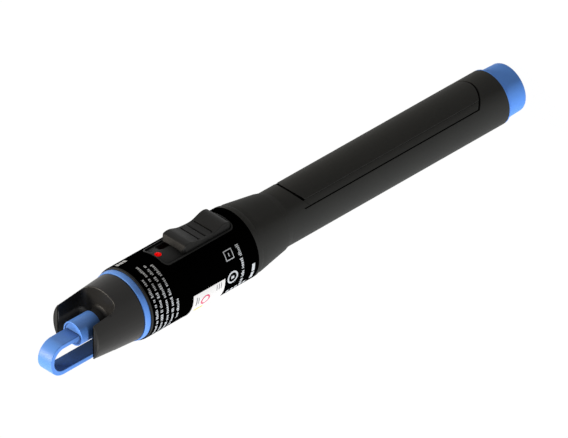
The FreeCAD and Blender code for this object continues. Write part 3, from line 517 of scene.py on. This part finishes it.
def on_slider_rim(point):
    """True for the outline of the slider's top, not for its grooves or its stem."""
    at_side = abs(point.x) > slider_high.x - SLIDER_SIDE
    at_end = point.z > slider_high.z - SLIDER_END or point.z < slider_low.z + SLIDER_END
    return point.y < SLIDER_FOOT and (at_side or at_end)


slider = pressed(
    "thumb_slider",
    "slider_button",
    "slider",
    charcoal_abs,
    SLIDER_EDGE_R,
    SLIDER_TURN,
    on_slider_rim,
)

# The lamp is the domed end of a light pipe in polished acrylic. The LED behind it makes it a strong
# red that glows a little by itself.
red_acrylic, _, shader = new_material("red_acrylic")
shader.inputs["Base Color"].default_value = linear("#E00000")
shader.inputs["Roughness"].default_value = 0.15
shader.inputs["Specular IOR Level"].default_value = 0.02
shader.inputs["Emission Color"].default_value = linear("#FF0000")
shader.inputs["Emission Strength"].default_value = 0.45
dress(red_acrylic, "indicator_lamp")

# ---------------------------------------------------------------- collar ring, strap and dust cap
# One soft moulding in blue elastomer: the ring is caught between head and guard, and the strap loops
# back from it to the cap. A fine grain blurs its highlights, and shade is painted dark inside the
# loop and the guard, where the light falls off.
CREVICE = 7.0
LOOP_CREVICE = 14.0
SOFT_RING_EDGE_R = 0.15
STRAP_EDGE_R = 0.28
PLUG_WALL = 1.05
PLUG_END = 1.1
PLUG_RIM_WIDTH = 0.55
PLUG_RIM_DEPTH = 0.25
PLUG_EDGE_R = 0.12
PLUG_TURN = 30.0
PLUG_SIDES = 72


def elastomer(name, reach, dark, shut, open_sky):
    """Blue elastomer, with shade painted dark in its crevices."""
    made = moulded(name, "#66A2FF", "#629DFA", roughness=0.42, depth=0.012, specular=0.42)
    dimmed(made, reach, dark, shut, open_sky)
    return made


# Painted shade: the ring and cap go near-black where other faces crowd round them, and the strap's copy
# of the elastomer paints a milder blue shade inside its loop.
blue_tpe = elastomer("blue_elastomer", CREVICE, "#101418", shut=0.05, open_sky=0.85)
loop_shade_tpe = elastomer("blue_elastomer_loop_shade", LOOP_CREVICE, "#3E5A80", shut=0.45, open_sky=0.98)
ring = pressed("soft_ring", "collar_ring", "body", blue_tpe, SOFT_RING_EDGE_R)


def turned(profile, edge_r):
    """Line of (radius, height) points turned round the pen into a closed skin with soft edges."""
    shape = bmesh.new()
    line = [shape.verts.new((r * MM, 0, z * MM)) for r, z in profile]
    edges = [shape.edges.new(pair) for pair in zip(line, line[1:])]
    bmesh.ops.spin(
        shape,
        geom=line + edges,
        cent=(0, 0, 0),
        axis=(0, 0, 1),
        angle=2 * math.pi,
        steps=PLUG_SIDES,
        use_merge=True,
    )
    bmesh.ops.remove_doubles(shape, verts=shape.verts, dist=SAME_POINT * MM)
    bmesh.ops.recalc_face_normals(shape, faces=shape.faces)
    sharp = [edge for edge in shape.edges if edge.calc_face_angle(0) > math.radians(PLUG_TURN)]
    rounded(shape, sharp, edge_r, clamp=True)
    return shape


plug_low, plug_high = (Vector(corner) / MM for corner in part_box("dust_cap"))
bore = plug_high.x - PLUG_WALL
profile = (
    (0, plug_high.z - PLUG_END),
    (bore, plug_high.z - PLUG_END),
    (bore, plug_low.z),
    (plug_high.x, plug_low.z),
    (plug_high.x, plug_high.z),
    (plug_high.x - PLUG_RIM_WIDTH, plug_high.z),
    (plug_high.x - PLUG_RIM_WIDTH, plug_high.z - PLUG_RIM_DEPTH),
    (0, plug_high.z - PLUG_RIM_DEPTH),
)
plug = piece("dust_plug", turned(profile, PLUG_EDGE_R), "dust_cap", blue_tpe, "dust_cap")

band = pressed("strap_band", "strap", None, loop_shade_tpe, STRAP_EDGE_R)
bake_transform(band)

# ---------------------------------------------------------------- front guard
# Dark grey ABS nose that shields the port, with a slot from side to side for the strap. It shines a
# little more than the grip, and its rounded edges catch the light as thin bright lines.
SLOT_CREVICE = 5.0
GUARD_EDGE_R = 0.42

grey_abs = moulded("grey_abs", "#1E1E1D", "#222120", roughness=0.4, depth=0.003, specular=0.26)
# Painted shade: near-black and dull in the strap slot and round the port, where faces crowd in.
dimmed(grey_abs, SLOT_CREVICE, "#040404", shut=0.3, open_sky=0.9)
guard = pressed("nose_guard", "front_bumper", "body", grey_abs, GUARD_EDGE_R)

# ---------------------------------------------------------------- studio
# White floor and surroundings, one hard key light from the -X side, a warm softbox over the guard
# and a dim even fill. The floor lies below the reach of the tail cap and takes the pen's shadow.
FLOOR_SIZE = 60.0
FLOOR_DROP = 0.0041
FLOOR_GLOW = 1.07
FLOOR_WHITE = 0.92
SKY_LEVEL = 0.22
AIM = Vector((-0.00057, 0.00134, 0.09665))
KEY_WAY = Vector((-1.0, 0.87, 0.45))
KEY_STRENGTH = 3.15
KEY_SPREAD = 7.0
SOFTBOX_WAY = Vector((0.46, -0.16, 0.87))
SOFTBOX_POWER = 14.0
SOFTBOX_SIZE = 0.45
SOFTBOX_DISTANCE = 1.2

shape = bmesh.new()
bmesh.ops.create_grid(shape, x_segments=1, y_segments=1, size=FLOOR_SIZE / 2)
bmesh.ops.translate(shape, vec=(0, 0, -FLOOR_DROP), verts=shape.verts)
floor_mesh = bpy.data.meshes.new("floor")
shape.to_mesh(floor_mesh)
shape.free()
floor = bpy.data.objects.new("floor", floor_mesh)
bpy.context.scene.collection.objects.link(floor)


def sees_white(tree):
    """1 for rays from the camera, off gloss and through glass, which see white surroundings."""
    rays = add(tree, "LightPath").outputs
    either = {"operation": "MAXIMUM"}
    direct = add(tree, "Math", either, at0=rays["Is Camera Ray"], at1=rays["Is Glossy Ray"])
    seen = add(tree, "Math", either, at0=direct.outputs[0], at1=rays["Is Transmission Ray"])
    return seen.outputs[0]


white, tree, shader = new_material("white_floor")
tree.nodes.remove(shader)
glow = add(tree, "Emission", Strength=FLOOR_GLOW)
matt = add(tree, "BsdfDiffuse", Color=linear("#A8A8A8"))
share = add(tree, "Math", {"operation": "MULTIPLY"}, at0=sees_white(tree), at1=FLOOR_WHITE)
floor_skin = add(tree, "MixShader", Fac=share.outputs[0], at1=matt.outputs[0], at2=glow.outputs[0])
tree.links.new(floor_skin.outputs[0], tree.nodes["Material Output"].inputs["Surface"])
floor_mesh.materials.append(white)

world = bpy.data.worlds.new("studio")
bpy.context.scene.world = world
world.use_nodes = True
tree = world.node_tree
background = tree.nodes["Background"]
seen = sees_white(tree)
level = add(tree, "MapRange", Value=seen, To_Min=SKY_LEVEL, To_Max=1.0)
tree.links.new(level.outputs[0], background.inputs["Strength"])
tint = add(tree, "Mix", RGBA, Factor=seen, at6=linear("#FFF8F0"), at7=linear("#FFFFFF"))
tree.links.new(tint.outputs[2], background.inputs["Color"])


def lamp(name, kind, energy, way):
    """Lamp at the origin that shines from a direction."""
    made = bpy.data.objects.new(name, bpy.data.lights.new(name, kind))
    made.data.energy = energy
    made.rotation_euler = way.to_track_quat("Z", "Y").to_euler()
    bpy.context.scene.collection.objects.link(made)
    return made


key = lamp("key", "SUN", KEY_STRENGTH, KEY_WAY)
key.data.angle = math.radians(KEY_SPREAD)
softbox = lamp("softbox", "AREA", SOFTBOX_POWER, SOFTBOX_WAY)
softbox.data.size = SOFTBOX_SIZE
softbox.data.color = linear("#FFF4E4")[:3]
softbox.location = AIM + SOFTBOX_WAY.normalized() * SOFTBOX_DISTANCE

# ---------------------------------------------------------------- camera
# Long lens from the laser end, far enough away to keep the pen's sides parallel, and rolled so that
# the pen slopes across the frame. Its lens and sensor are in millimetres.
CAMERA_LENS = 1000.0
CAMERA_SENSOR = 36.0
CAMERA_DISTANCE = 4.78
CAMERA_REACH = 200.0
CAMERA_WAY = Vector((-1, -1, 0.985))
PEN_SLOPE = math.radians(29.6)

camera_data = bpy.data.cameras.new("camera")
camera_data.lens = CAMERA_LENS
camera_data.sensor_width = CAMERA_SENSOR
camera_data.clip_end = CAMERA_REACH
camera = bpy.data.objects.new("camera", camera_data)
bpy.context.scene.collection.objects.link(camera)
back = CAMERA_WAY.normalized()
along = (Vector((0, 0, 1)) - back * back.z).normalized()
right = back.cross(along) * math.sin(PEN_SLOPE) - along * math.cos(PEN_SLOPE)
turn = Matrix((right, back.cross(right), back)).transposed().to_4x4()
camera.matrix_world = Matrix.Translation(AIM + back * CAMERA_DISTANCE) @ turn
bpy.context.scene.camera = camera
bpy.context.scene.view_settings.view_transform = "Standard"
